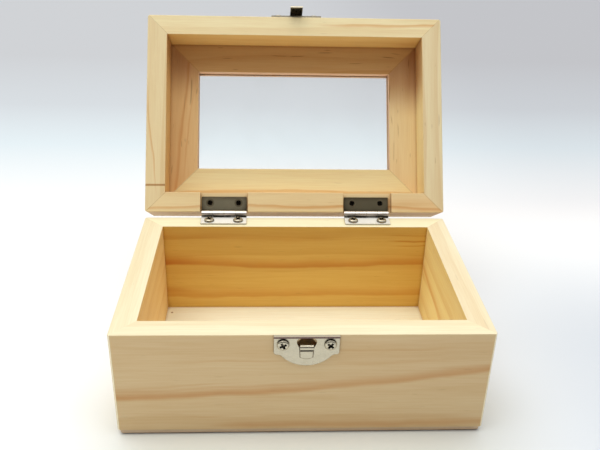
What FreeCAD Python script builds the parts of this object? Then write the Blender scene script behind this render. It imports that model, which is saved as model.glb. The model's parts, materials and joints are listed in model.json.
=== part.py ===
import FreeCAD
import Part
import Sketcher
import math
import os

# Pine chest with a glazed lid: a mitred box on a thin bottom board, a mitred lid with a mitred
# picture-frame top that holds a glass pane, two butt hinges at the back and a draw latch in front.
#
# Frame: millimetres, +X to the right along the chest, +Y to the back, +Z up. The origin is the
# centre of the base, on the surface that the chest stands on. The lid is drawn shut and then
# turned open about the hinge line, where it leans back on the hinges' stops.

SIZES = [
    # chest body
    ("chest_length", 160, "outside length of body and lid"),
    ("chest_depth", 107, "outside depth of body and lid"),
    ("body_height", 53, "from the table to the body's rim"),
    ("wall_thickness", 10.5, "walls of the body and rails of the lid"),
    ("board_thickness", 3, "bottom board, planted under the walls"),
    ("board_inset", 0.8, "bottom board's edge, in from the walls' faces"),
    ("board_round", 1.3, "rounding under the bottom board's edge"),
    ("corner_round", 1.2, "rounding of the upright corners"),
    ("rim_round", 0.4, "rounding of the level outer edges"),
    ("mouth_round", 0.3, "rounding of the inner edges at the rim"),
    # lid
    ("lid_height", 27, "from the lid's rim to its top"),
    ("frame_thickness", 9, "strips of the frame on top of the rails"),
    ("frame_width", 26, "strips of the frame, from the outside in"),
    ("window_round", 0.4, "rounding of the window's edges"),
    ("glass_thickness", 2, "window pane"),
    ("glass_depth", 4.4, "pane's inner face above the frame's inner face"),
    ("groove_depth", 3, "pane's edge inside the strips"),
    ("glass_play", 0.1, "gap round the pane in its groove"),
    ("rim_gap", 0.1, "gap between the two rims with the lid shut"),
    ("open_angle", 121.5, "lid at its stop"),
    # hinges
    ("hinge_spread", 38.2, "hinge centre from the middle of the chest"),
    ("hinge_width", 24, "leaves and barrel"),
    ("knuckle_count", 4, "knuckles of one hinge, taken by its two leaves in turn"),
    ("leaf_thickness", 0.8, "hinge leaves"),
    ("leaf_reach", 8.3, "leaf's front edge, in from the back face"),
    ("leaf_notch", 1.1, "knuckles' notches, in from the back face"),
    ("leaf_corner", 0.5, "rounding of the leaf's front corners"),
    ("axis_back", 0.8, "hinge line behind the back face"),
    ("axis_rise", 2, "hinge line above the body's rim"),
    ("knuckle_radius", 1.6, "outside of the barrel"),
    ("knuckle_gap", 0.1, "between neighbouring knuckles"),
    ("hinge_pin_radius", 0.8, "hinge pin"),
    ("pin_play", 0.05, "radial running clearance of both kinds of pin"),
    ("stop_drop", 2.6, "stop tails, below the body's rim with the lid open"),
    ("stop_gap", 0.02, "stop tails from the back face with the lid open"),
    ("mortise_play", 0.7, "mortise beside the leaf"),
    ("mortise_slip", 0.8, "extra width of the right-hand mortise"),
    # wood screws
    ("shank_radius", 0.9, "all the wood screws"),
    ("screw_length", 9, "all the wood screws, below the leaf or plate"),
    ("screw_turn", 25, "each screw's cross is turned this much more than the one before"),
    ("pan_radius", 2.55, "pan head"),
    ("pan_height", 1.3, "pan head"),
    ("pan_dome", 1, "rounding of the pan head's top"),
    ("pan_recess", 3.1, "pan head's cross recess, tip to tip"),
    ("pan_recess_depth", 1.05, "pan head's cross recess"),
    ("sunk_radius", 2.2, "countersunk head"),
    ("sunk_recess", 2.75, "countersunk head's cross recess, tip to tip"),
    ("sunk_recess_depth", 0.8, "countersunk head's cross recess"),
    ("recess_width", 1.05, "arms of both cross recesses"),
    ("hinge_screw_pitch", 15.2, "between the two screws of a leaf"),
    ("hinge_screw_inset", 5.1, "leaf screws, in from the back face"),
    # bottom nails
    ("nail_radius", 0.7, "shank"),
    ("nail_head_radius", 1.5, "flush head"),
    ("nail_head_height", 0.5, "flush head"),
    ("nail_length", 14, "overall"),
    ("nail_end", 24, "nails of the long walls, from the chest's ends"),
    # latch
    ("catch_offset", 0.9, "catch plate's centre from the middle of the chest"),
    ("latch_offset", 0.4, "latch plate's centre from the middle of the chest"),
    ("plate_width", 27.2, "catch plate and latch plate"),
    ("plate_side", 9.4, "straight sides of both plates"),
    ("plate_height", 15, "both plates, belly included"),
    ("belly_radius", 13.5, "round belly of both plates"),
    ("plate_thickness", 0.8, "both plates"),
    ("plate_corner", 1.2, "rounding of the plates' corners"),
    ("plate_blend", 2.4, "hollow rounding between shoulder and belly"),
    ("plate_gap", 0.3, "latch plate above the lid's rim"),
    ("plate_screw_pitch", 19.5, "between the two screws of a plate"),
    ("plate_screw_drop", 4.2, "plate screws from the plate's straight edge"),
    ("lip_reach", 1.7, "catch plate's lip, out from the wall"),
    ("sheet_round", 0.25, "softened edges of the plates, leaves and lever"),
    ("slot_top", 1.3, "top of the hook's opening, below the rim"),
    ("slot_width", 8.2, "hook's opening at its widest"),
    ("slot_shoulder", 3.7, "foot of the opening's upright sides, below the rim"),
    ("slot_neck", 5.9, "where the opening narrows to the tongue's slits, below the rim"),
    ("slot_bottom", 10.8, "foot of the slits, below the rim"),
    ("slot_round", 1.6, "rounding of the opening's upper corners"),
    ("slit_width", 0.3, "slits beside the tongue"),
    ("pocket_depth", 4, "round hollow in the wall behind the opening"),
    ("hook_width", 5.6, "hook and head of its tongue"),
    ("hook_foot", 5, "foot of the hook's tongue"),
    ("hook_radius", 1.3, "outside of the hook's bend"),
    ("hook_top", 3.9, "crown of the hook, below the rim"),
    ("hook_tip", 5.7, "tip of the hook, below the rim"),
    ("lever_width", 6.6, "latch lever"),
    ("lever_sheet", 0.5, "latch lever's metal"),
    ("lever_side", 1.35, "latch lever's side flanges, sheet included"),
    ("flange_gap", 0.4, "side flanges above the hook's crown with the latch shut"),
    ("lever_toe", 1.15, "latch lever's toe, sheet included"),
    ("lever_bend", 0.9, "outside of the bend at the toe"),
    ("toe_gap", 0.2, "toe below the hook's tip with the latch shut"),
    ("latch_axis_out", 1.95, "latch pin, out from the lid's face"),
    ("latch_axis_rise", 6.5, "latch pin above the latch plate's lower edge"),
    ("latch_pin_radius", 0.6, "latch pin"),
    ("lug_radius", 1.3, "lever's lugs and plate's ears round the pin"),
    ("ear_thickness", 0.6, "latch plate's ears"),
    ("ear_gap", 0.1, "between lever and ears"),
    ("ear_relief", 0.5, "window in the latch plate, past the ears' ends"),
    ("rivet_radius", 0.9, "latch pin's riveted ends"),
    ("rivet_height", 0.25, "latch pin's riveted ends"),
    ("lever_lift", 3.2, "lever's swing out from shut, as it stands with the lid open"),
]

TOUCH = 1e-4  # two figures this close are the same, in mm or mm3

doc = FreeCAD.newDocument("Chest")
sheet = doc.addObject("Spreadsheet::Sheet", "Size")
for row, (alias, value, note) in enumerate(SIZES, start=1):
    sheet.set(f"A{row}", alias)
    sheet.set(f"B{row}", str(value))
    sheet.set(f"C{row}", note)
    sheet.setAlias(f"B{row}", alias)
doc.recompute()


def size(alias):
    """A driving dimension, as a number."""
    return float(getattr(sheet, alias))


# ---------------------------------------------------------------- placements, as expressions

HALF_LENGTH = "Size.chest_length / 2"
HALF_DEPTH = "Size.chest_depth / 2"
LID_FOOT = "Size.body_height + Size.rim_gap"
HINGE_Y = f"({HALF_DEPTH} + Size.axis_back)"
HINGE_Z = "(Size.body_height + Size.axis_rise)"
LATCH_Y = f"(-{HALF_DEPTH} - Size.latch_axis_out)"
LATCH_FOOT = f"({LID_FOOT} + Size.plate_gap)"
LATCH_Z = f"({LATCH_FOOT} + Size.latch_axis_rise)"


def moved(x="0", y="0", z="0", turn="0", about="0; 0; 1"):
    """A placement: turned about an axis through the origin, then moved."""
    return f"placement(vector({x}; {y}; {z}); rotation(vector({about}); {turn}))"


def swung(y, z, turn):
    """A placement that turns a piece about the line along X through y and z."""
    return f"{moved('0', y, z, turn, '1; 0; 0')} * {moved('0', f'-{y}', f'-{z}')}"


LID_OPEN = swung(HINGE_Y, HINGE_Z, "-Size.open_angle")
LEVER_OUT = swung(LATCH_Y, LATCH_Z, "-Size.lever_lift")


def place(piece, *steps):
    """Bind a piece's placement to the product of the given steps."""
    piece.setExpression("Placement", " * ".join(steps))
    return piece


# ---------------------------------------------------------------- sketches and features

def new_body(name):
    return doc.addObject("PartDesign::Body", name)


def new_sketch(body, plane, name, x="0", y="0", out="0", turn=None):
    """A sketch on one of the body's origin planes, shifted and turned within it."""
    sketch = body.newObject("Sketcher::SketchObject", name)
    support = [item for item in body.Origin.OriginFeatures if item.Role == f"{plane}_Plane"]
    sketch.AttachmentSupport = [(support[0], "")]
    sketch.MapMode = "FlatFace"
    sketch.setExpression("AttachmentOffset.Base.x", x)
    sketch.setExpression("AttachmentOffset.Base.y", y)
    sketch.setExpression("AttachmentOffset.Base.z", out)
    if turn:
        sketch.AttachmentOffset.Rotation = FreeCAD.Rotation(FreeCAD.Vector(0, 0, 1), 1)
        sketch.setExpression("AttachmentOffset.Rotation.Angle", turn)
    return sketch


def pin_point(sketch, geometry, point, x, y):
    """Bind one point of a sketch to its place."""
    spot = sketch.getPoint(geometry, point)
    for kind, value, bound in (("DistanceX", spot.x, x), ("DistanceY", spot.y, y)):
        index = sketch.addConstraint(Sketcher.Constraint(kind, -1, 1, geometry, point, value))
        sketch.setExpression(f"Constraints[{index}]", bound)


def draw_polygon(sketch, corners):
    """A closed outline through corners given as pairs of expressions."""
    count = len(corners)
    first = sketch.GeometryCount
    ring = [FreeCAD.Vector(math.cos(math.tau * k / count), math.sin(math.tau * k / count), 0)
            for k in range(count)]
    for k in range(count):
        sketch.addGeometry(Part.LineSegment(ring[k], ring[(k + 1) % count]), False)
    for k in range(count):
        neighbour = first + (k + 1) % count
        sketch.addConstraint(Sketcher.Constraint("Coincident", first + k, 2, neighbour, 1))
    for k, (x, y) in enumerate(corners):
        pin_point(sketch, first + k, 1, x, y)


def draw_rectangle(sketch, left, right, low, high):
    draw_polygon(sketch, [(left, low), (right, low), (right, high), (left, high)])


def draw_circle(sketch, x, y, radius):
    circle = Part.Circle(FreeCAD.Vector(0, 0, 0), FreeCAD.Vector(0, 0, 1), 1)
    index = sketch.addGeometry(circle, False)
    pin_point(sketch, index, 3, x, y)
    bound = sketch.addConstraint(Sketcher.Constraint("Radius", index, 1.0))
    sketch.setExpression(f"Constraints[{bound}]", radius)


def add_pad(body, sketch, length, name, reverse=False):
    pad = body.newObject("PartDesign::Pad", name)
    pad.Profile = sketch
    pad.setExpression("Length", length)
    pad.Reversed = reverse
    return pad


def add_pocket(body, sketch, length, name, reverse=False):
    """Cut a sketch into the body, and make sure that it has cut something."""
    doc.recompute()
    before = body.Shape.Volume
    pocket = body.newObject("PartDesign::Pocket", name)
    pocket.Profile = sketch
    pocket.setExpression("Length", length)
    pocket.Reversed = reverse
    doc.recompute()
    if body.Shape.Volume > before - TOUCH:
        raise RuntimeError(f"{name} cuts nothing")
    return pocket


def pick_edges(feature, test):
    """Names of the edges whose middle and direction pass a test."""
    names = []
    for index, edge in enumerate(feature.Shape.Edges, start=1):
        if edge.Degenerated:
            continue
        middle = edge.valueAt((edge.FirstParameter + edge.LastParameter) / 2)
        along = edge.tangentAt((edge.FirstParameter + edge.LastParameter) / 2)
        if test(middle, along):
            names.append(f"Edge{index}")
    return names


def add_round(body, name, radius, test):
    """Round the edges of the body's last feature that pass a test."""
    doc.recompute()
    base = body.Tip
    names = pick_edges(base, test)
    if not names:
        raise RuntimeError(f"{name} finds no edge")
    fillet = body.newObject("PartDesign::Fillet", name)
    fillet.Base = (base, names)
    fillet.setExpression("Radius", radius)
    return fillet


def near(value, target):
    return abs(value - target) < TOUCH


def upright(along):
    return near(abs(along.z), 1)


def fore_and_aft(along):
    return near(abs(along.y), 1)


def add_boolean(kind, name, base, tool):
    result = doc.addObject(f"Part::{kind}", name)
    result.Base = base
    result.Tool = tool
    return result


def add_group(name, pieces):
    group = doc.addObject("Part::Compound", name)
    group.Links = pieces
    return group


def add_copies(name, original, steps_for_each):
    """Linked copies of a piece, each with its own placement, as one group."""
    copies = []
    for number, steps in enumerate(steps_for_each, start=1):
        link = doc.addObject("App::Link", f"{name}_{number}")
        link.LinkedObject = original
        place(link, *steps)
        copies.append(link)
    return add_group(name, copies)


# ---------------------------------------------------------------- mitred frames

nodes = {}


def keep(label, piece):
    """Note a finished sub-part under the label that names its file."""
    piece.Label = label
    nodes[label] = piece
    return piece


def make_ring(name, foot, height, width, rounds):
    """A rectangular frame with the chest's outline, open in the middle."""
    body = new_body(name)
    outline = new_sketch(body, "XY", f"{name}_outline", out=foot)
    draw_rectangle(outline, f"-{HALF_LENGTH}", HALF_LENGTH, f"-{HALF_DEPTH}", HALF_DEPTH)
    add_pad(body, outline, height, f"{name}_block")
    add_round(body, f"{name}_corners", "Size.corner_round", lambda middle, along: upright(along))
    doc.recompute()
    levels = (body.Shape.BoundBox.ZMin, body.Shape.BoundBox.ZMax)
    for number, level in enumerate(levels):
        if rounds[number]:
            add_round(body, f"{name}_edge_{number}", rounds[number],
                      lambda middle, along, level=level: near(middle.z, level))
    mouth = new_sketch(body, "XY", f"{name}_mouth", out=foot)
    draw_rectangle(mouth, f"-{HALF_LENGTH} + {width}", f"{HALF_LENGTH} - {width}",
                   f"-{HALF_DEPTH} + {width}", f"{HALF_DEPTH} - {width}")
    add_pocket(body, mouth, height, f"{name}_hollow", reverse=True)
    return body


def round_mouth(body, name, level, radius, width):
    """Round the inner edges of a ring at one level."""
    half_x = size("chest_length") / 2 - width
    half_y = size("chest_depth") / 2 - width

    def at_mouth(middle, along):
        on_side = near(abs(middle.x), half_x) or near(abs(middle.y), half_y)
        inside = abs(middle.x) < half_x + TOUCH and abs(middle.y) < half_y + TOUCH
        return near(middle.z, level) and on_side and inside

    add_round(body, name, radius, at_mouth)


def split_ring(ring, names, foot, height, width):
    """Cut a ring along its mitres into front, back, left and right boards."""
    boards = {}
    sides = (("front", HALF_LENGTH, HALF_DEPTH, "0"), ("back", HALF_LENGTH, HALF_DEPTH, "180"),
             ("left", HALF_DEPTH, HALF_LENGTH, "-90"), ("right", HALF_DEPTH, HALF_LENGTH, "90"))
    for side, half_run, reach, turn in sides:
        wedge = new_body(f"{names[side]}_mitre")
        outline = new_sketch(wedge, "XY", f"{names[side]}_mitre_outline", out=foot)
        draw_polygon(outline, [(f"-{half_run}", f"-{reach}"), (half_run, f"-{reach}"),
                               (f"{half_run} - {width}", f"-{reach} + {width}"),
                               (f"-{half_run} + {width}", f"-{reach} + {width}")])
        add_pad(wedge, outline, height, f"{names[side]}_mitre_block")
        place(wedge, moved(turn=turn))
        boards[side] = add_boolean("Common", names[side], ring, wedge)
    return boards


# ---------------------------------------------------------------- fasteners

SHANK = "Size.shank_radius"
SHANK_PROFILE = [("0", "-Size.screw_length"), (SHANK, f"-Size.screw_length + 2 * {SHANK}")]
PAN_SEAT_PROFILE = SHANK_PROFILE + [(SHANK, "0"), ("0", "0")]
SUNK_PROFILE = SHANK_PROFILE + [(SHANK, f"-Size.sunk_radius + {SHANK}"),
                                ("Size.sunk_radius", "0"), ("0", "0")]


def make_cross(body, name, level, length, depth):
    """A cross recess cut down from a screw head's top."""
    half = f"{length} / 2"
    arm = "Size.recess_width / 2"
    sketch = new_sketch(body, "XY", f"{name}_cross", out=level)
    draw_polygon(sketch, [(arm, arm), (arm, half), (f"-{arm}", half), (f"-{arm}", arm),
                          (f"-{half}", arm), (f"-{half}", f"-{arm}"), (f"-{arm}", f"-{arm}"),
                          (f"-{arm}", f"-{half}"), (arm, f"-{half}"), (arm, f"-{arm}"),
                          (half, f"-{arm}"), (half, arm)])
    add_pocket(body, sketch, depth, f"{name}_recess")


def make_turned(name, profile):
    """A body of revolution about Z, from corners (radius, height)."""
    body = new_body(name)
    sketch = new_sketch(body, "XZ", f"{name}_profile")
    draw_polygon(sketch, profile)
    turned = body.newObject("PartDesign::Revolution", f"{name}_turned")
    turned.Profile = sketch
    turned.ReferenceAxis = (sketch, ["V_Axis"])
    turned.Angle = 360
    return body


def make_pan_screw():
    """Pan-head wood screw, seated at z = 0 with its point down."""
    body = make_turned("pan_screw", SHANK_PROFILE + [
        (SHANK, "0"), ("Size.pan_radius", "0"), ("Size.pan_radius", "Size.pan_height"),
        ("0", "Size.pan_height")])
    add_round(body, "pan_screw_dome", "Size.pan_dome",
              lambda middle, along: near(middle.z, size("pan_height"))
              and near(math.hypot(middle.x, middle.y), size("pan_radius")))
    make_cross(body, "pan_screw", "Size.pan_height", "Size.pan_recess", "Size.pan_recess_depth")
    return body


def make_sunk_screw():
    """Countersunk wood screw, its flat head flush with z = 0."""
    body = make_turned("sunk_screw", SUNK_PROFILE)
    make_cross(body, "sunk_screw", "0", "Size.sunk_recess", "Size.sunk_recess_depth")
    return body


def make_nail():
    """Flat-head nail, its head flush with z = 0 and its point up."""
    shank = "Size.nail_radius"
    return make_turned("board_nail", [
        ("0", "0"), ("Size.nail_head_radius", "0"),
        ("Size.nail_head_radius", "Size.nail_head_height"), (shank, "Size.nail_head_height"),
        (shank, f"Size.nail_length - 2 * {shank}"), ("0", "Size.nail_length")])


# ---------------------------------------------------------------- hinges

def segment_start(number):
    """Left end of a knuckle, counted from 0 at the barrel's left end."""
    return f"{number} * Size.hinge_width / Size.knuckle_count + Size.knuckle_gap / 2"


SEGMENT_LENGTH = "Size.hinge_width / Size.knuckle_count - Size.knuckle_gap"


def make_leaf(name, segments, low, strap, bore, tail):
    """A hinge leaf. Local frame: X along the barrel from its left end, Y = 0 at the chest's
    back face, Z = 0 at the body's rim. The leaf lies from low to low + leaf_thickness."""
    body = new_body(name)
    high = f"{low} + Size.leaf_thickness"
    plate = new_sketch(body, "YZ", f"{name}_flat")
    draw_rectangle(plate, "-Size.leaf_reach", "-Size.leaf_notch", low, high)
    add_pad(body, plate, "Size.hinge_width", f"{name}_plate")
    add_round(body, f"{name}_plate_corners", "Size.leaf_corner",
              lambda middle, along: upright(along) and near(middle.y, -size("leaf_reach")))
    for number in segments:
        start = segment_start(number)
        reach = new_sketch(body, "YZ", f"{name}_strap_{number}", out=start)
        draw_polygon(reach, strap)
        add_pad(body, reach, SEGMENT_LENGTH, f"{name}_strap_pad_{number}")
        roll = new_sketch(body, "YZ", f"{name}_roll_{number}", out=start)
        draw_circle(roll, "Size.axis_back", "Size.axis_rise", "Size.knuckle_radius")
        add_pad(body, roll, SEGMENT_LENGTH, f"{name}_knuckle_{number}")
        if tail:
            stop = new_sketch(body, "YZ", f"{name}_stop_{number}", x="Size.axis_back",
                              y="Size.axis_rise", out=start, turn="Size.open_angle")
            near_face = "-Size.axis_back + Size.stop_gap"
            draw_rectangle(stop, near_face, f"{near_face} + Size.leaf_thickness",
                           "-Size.axis_rise - Size.stop_drop", "0")
            add_pad(body, stop, SEGMENT_LENGTH, f"{name}_stop_pad_{number}")
    hole = new_sketch(body, "YZ", f"{name}_bore")
    draw_circle(hole, "Size.axis_back", "Size.axis_rise", bore)
    add_pocket(body, hole, "Size.hinge_width", f"{name}_bore_cut", reverse=True)
    return body


LEAF_SCREW_Y = "-Size.hinge_screw_inset"
LEAF_SCREW_XS = [f"Size.hinge_width / 2 {sign} Size.hinge_screw_pitch / 2" for sign in "-+"]
LID_LEAF_LOW = "Size.axis_rise + Size.knuckle_radius - Size.leaf_thickness"


def make_body_leaf(name):
    """The leaf on the body's rim: flat plate, straps rising to knuckles 0 and 2."""
    strap = [("-Size.leaf_notch - Size.leaf_thickness", "0"), ("-Size.leaf_thickness", "0"),
             ("Size.axis_back", "Size.axis_rise - Size.knuckle_radius"),
             ("Size.axis_back", "Size.axis_rise"),
             ("Size.axis_back - Size.knuckle_radius + Size.knuckle_gap", "Size.axis_rise"),
             ("-Size.leaf_notch + Size.leaf_thickness / 2", "Size.leaf_thickness"),
             ("-Size.leaf_notch - Size.leaf_thickness", "Size.leaf_thickness")]
    body = make_leaf(name, (0, 2), "0", strap, "Size.hinge_pin_radius", tail=False)
    holes = new_sketch(body, "XY", f"{name}_holes")
    for x in LEAF_SCREW_XS:
        draw_circle(holes, x, LEAF_SCREW_Y, SHANK)
    add_pocket(body, holes, "Size.leaf_thickness", f"{name}_hole_cut", reverse=True)
    return body


def make_lid_leaf(name):
    """The leaf in the lid's mortise, drawn with the lid shut: knuckles 1 and 3, with stop tails
    that swing down against the body's back face when the lid is open."""
    high = f"{LID_LEAF_LOW} + Size.leaf_thickness"
    root = "-Size.leaf_notch - Size.leaf_thickness"
    strap = [(root, LID_LEAF_LOW), ("Size.axis_back", LID_LEAF_LOW),
             ("Size.axis_back", high), (root, high)]
    bore = "Size.hinge_pin_radius + Size.pin_play"
    return make_leaf(name, (1, 3), LID_LEAF_LOW, strap, bore, tail=True)


def make_hinge_pin(name):
    """The pin, along X from the barrel's left end."""
    body = new_body(name)
    sketch = new_sketch(body, "YZ", f"{name}_circle")
    draw_circle(sketch, "Size.axis_back", "Size.axis_rise", "Size.hinge_pin_radius")
    add_pad(body, sketch, "Size.hinge_width", f"{name}_rod")
    return body


# ---------------------------------------------------------------- latch

def draw_plate_outline(sketch, sign):
    """Straight edge on Z = 0, straight sides, then shoulders and a round belly."""
    side = sign * size("plate_side")
    half = size("plate_width") / 2
    radius = size("belly_radius")
    centre = sign * (size("plate_height") - radius)
    chord = math.sqrt(radius ** 2 - (side - centre) ** 2)
    corners = [(-chord, side), (-half, side), (-half, 0), (half, 0), (half, side), (chord, side)]
    points = [FreeCAD.Vector(x, y, 0) for x, y in corners]
    for first, second in zip(points, points[1:]):
        sketch.addGeometry(Part.LineSegment(first, second), False)
    lean = math.atan2(sign * (side - centre), chord)
    start = lean if sign > 0 else math.pi + lean
    turn = math.pi - 2 * lean
    circle = Part.Circle(FreeCAD.Vector(0, centre, 0), FreeCAD.Vector(0, 0, 1), radius)
    belly = sketch.addGeometry(Part.ArcOfCircle(circle, start, start + turn), False)
    for line in range(4):
        sketch.addConstraint(Sketcher.Constraint("Coincident", line, 2, line + 1, 1))
    ends = (2, 1) if sign > 0 else (1, 2)
    sketch.addConstraint(Sketcher.Constraint("Coincident", 0, 1, belly, ends[0]))
    sketch.addConstraint(Sketcher.Constraint("Coincident", 4, 2, belly, ends[1]))
    sketch.addConstraint(Sketcher.Constraint("Horizontal", 0))
    sketch.addConstraint(Sketcher.Constraint("Horizontal", 4))
    direction = "" if sign > 0 else "-"
    half_bound = "Size.plate_width / 2"
    pin_point(sketch, 1, 1, f"-{half_bound}", f"{direction}Size.plate_side")
    pin_point(sketch, 2, 1, f"-{half_bound}", "0")
    pin_point(sketch, 3, 1, half_bound, "0")
    pin_point(sketch, 4, 1, half_bound, f"{direction}Size.plate_side")
    pin_point(sketch, belly, 3, "0", f"{direction}(Size.plate_height - Size.belly_radius)")
    bound = sketch.addConstraint(Sketcher.Constraint("Radius", belly, radius))
    sketch.setExpression(f"Constraints[{bound}]", "Size.belly_radius")


def make_plate(name, sign):
    """The outline that both plates share. Local frame: X = 0 in the middle, Y = 0 on the wood
    with the plate towards -Y, Z = 0 at the straight edge. The belly hangs for sign -1."""
    body = new_body(name)
    outline = new_sketch(body, "XZ", f"{name}_outline")
    draw_plate_outline(outline, sign)
    add_pad(body, outline, "Size.plate_thickness", f"{name}_sheet")
    shoulder = sign * size("plate_side")
    half = size("plate_width") / 2
    add_round(body, f"{name}_corners", "Size.plate_corner",
              lambda middle, along: fore_and_aft(along) and near(middle.z, shoulder)
              and near(abs(middle.x), half))
    add_round(body, f"{name}_blends", "Size.plate_blend",
              lambda middle, along: fore_and_aft(along) and near(middle.z, shoulder)
              and abs(middle.x) < half - size("plate_corner") - TOUCH)
    add_round(body, f"{name}_edge", "Size.sheet_round",
              lambda middle, along: near(middle.y, -size("plate_thickness"))
              and not near(middle.z, 0))
    direction = "" if sign > 0 else "-"
    holes = new_sketch(body, "XZ", f"{name}_holes")
    for side in ("-", ""):
        draw_circle(holes, f"{side}Size.plate_screw_pitch / 2",
                    f"{direction}Size.plate_screw_drop", SHANK)
    add_pocket(body, holes, "Size.plate_thickness", f"{name}_hole_cut", reverse=True)
    return body


HOOK_AXIS_Z = "-(Size.hook_top + Size.hook_radius)"


def make_catch_plate(name):
    """The body's half of the latch: lip along the top, and a tongue cut free of the plate that
    rises from the foot of its opening and bends out and down into a hook."""
    body = make_plate(name, -1)
    half = "Size.plate_width / 2"
    lip = new_sketch(body, "XZ", f"{name}_lip")
    draw_rectangle(lip, f"-{half}", half, "-Size.plate_thickness", "0")
    add_pad(body, lip, "Size.lip_reach", f"{name}_lip_pad")
    add_round(body, f"{name}_lip_round", "Size.sheet_round",
              lambda middle, along: near(middle.y, -size("lip_reach")) and near(abs(along.x), 1))
    opening = new_sketch(body, "XZ", f"{name}_opening")
    wide = "Size.slot_width / 2"
    side = "Size.hook_width / 2"
    foot = "Size.hook_foot / 2"
    neck = f"({side} + Size.slit_width)"
    end = f"({foot} + Size.slit_width)"
    draw_polygon(opening, [(f"-{wide}", "-Size.slot_top"), (f"-{wide}", "-Size.slot_shoulder"),
                           (f"-{neck}", "-Size.slot_neck"), (f"-{end}", "-Size.slot_bottom"),
                           (end, "-Size.slot_bottom"), (neck, "-Size.slot_neck"),
                           (wide, "-Size.slot_shoulder"), (wide, "-Size.slot_top")])
    add_pocket(body, opening, "Size.plate_thickness", f"{name}_opening_cut", reverse=True)
    add_round(body, f"{name}_opening_round", "Size.slot_round",
              lambda middle, along: fore_and_aft(along)
              and near(abs(middle.x), size("slot_width") / 2))

    root = "-Size.slot_bottom - Size.plate_thickness"
    strip = new_sketch(body, "XZ", f"{name}_tongue")
    draw_polygon(strip, [(f"-{foot}", root), (foot, root), (foot, "-Size.slot_bottom"),
                         (side, "-Size.slot_neck"), (side, HOOK_AXIS_Z), (f"-{side}", HOOK_AXIS_Z),
                         (f"-{side}", "-Size.slot_neck"), (f"-{foot}", "-Size.slot_bottom")])
    add_pad(body, strip, "Size.plate_thickness", f"{name}_tongue_pad")
    bend = new_sketch(body, "XY", f"{name}_bend", y="-Size.hook_radius", out=HOOK_AXIS_Z)
    draw_rectangle(bend, f"-{side}", side, "Size.hook_radius - Size.plate_thickness",
                   "Size.hook_radius")
    turned = body.newObject("PartDesign::Revolution", f"{name}_bend_turned")
    turned.Profile = bend
    turned.ReferenceAxis = (bend, ["H_Axis"])
    turned.Angle = 180
    tip = new_sketch(body, "XY", f"{name}_tip", y="-Size.hook_radius", out=HOOK_AXIS_Z)
    draw_rectangle(tip, f"-{side}", side, "-Size.hook_radius",
                   "-Size.hook_radius + Size.plate_thickness")
    add_pad(body, tip, "Size.hook_tip - Size.hook_top - Size.hook_radius", f"{name}_tip_pad",
            reverse=True)
    return body


def make_latch_plate(name):
    """The lid's half of the latch: two ears folded out of a window carry the lever's pin."""
    body = make_plate(name, 1)
    inner = "Size.lever_width / 2 + Size.ear_gap"
    window = new_sketch(body, "XZ", f"{name}_window")
    tall = "(Size.lug_radius + Size.ear_relief)"
    draw_rectangle(window, f"-({inner})", inner, f"Size.latch_axis_rise - {tall}",
                   f"Size.latch_axis_rise + {tall}")
    add_pocket(body, window, "Size.plate_thickness", f"{name}_window_cut", reverse=True)
    for side, start in (("left", f"-({inner}) - Size.ear_thickness"), ("right", inner)):
        root = new_sketch(body, "YZ", f"{name}_{side}_ear", out=start)
        draw_rectangle(root, "-Size.latch_axis_out", "0", "Size.latch_axis_rise - Size.lug_radius",
                       "Size.latch_axis_rise + Size.lug_radius")
        add_pad(body, root, "Size.ear_thickness", f"{name}_{side}_ear_pad")
        tip = new_sketch(body, "YZ", f"{name}_{side}_ear_tip", out=start)
        draw_circle(tip, "-Size.latch_axis_out", "Size.latch_axis_rise", "Size.lug_radius")
        add_pad(body, tip, "Size.ear_thickness", f"{name}_{side}_ear_round")
    bore = new_sketch(body, "YZ", f"{name}_bore", out="-Size.plate_width / 2")
    draw_circle(bore, "-Size.latch_axis_out", "Size.latch_axis_rise", "Size.latch_pin_radius")
    add_pocket(body, bore, "Size.plate_width", f"{name}_bore_cut", reverse=True)
    return body


EAR_SPAN = "(Size.lever_width + 2 * Size.ear_gap + 2 * Size.ear_thickness)"
FLANGE_FOOT = ("-(Size.latch_axis_rise + Size.plate_gap + Size.rim_gap + Size.hook_top"
               " - Size.flange_gap)")


def make_latch_pin(name):
    """The pin, about Z from one riveted end to the other."""
    rod = "Size.latch_pin_radius"
    head = "Size.rivet_radius"
    rise = "Size.rivet_height"
    return make_turned(name, [
        ("0", f"-{rise}"), (head, f"-{rise}"), (head, "0"), (rod, "0"), (rod, EAR_SPAN),
        (head, EAR_SPAN), (head, f"{EAR_SPAN} + {rise}"), ("0", f"{EAR_SPAN} + {rise}")])


TOE_TOP = ("-(Size.hook_tip + Size.toe_gap + Size.rim_gap + Size.plate_gap"
           " + Size.latch_axis_rise)")


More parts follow.
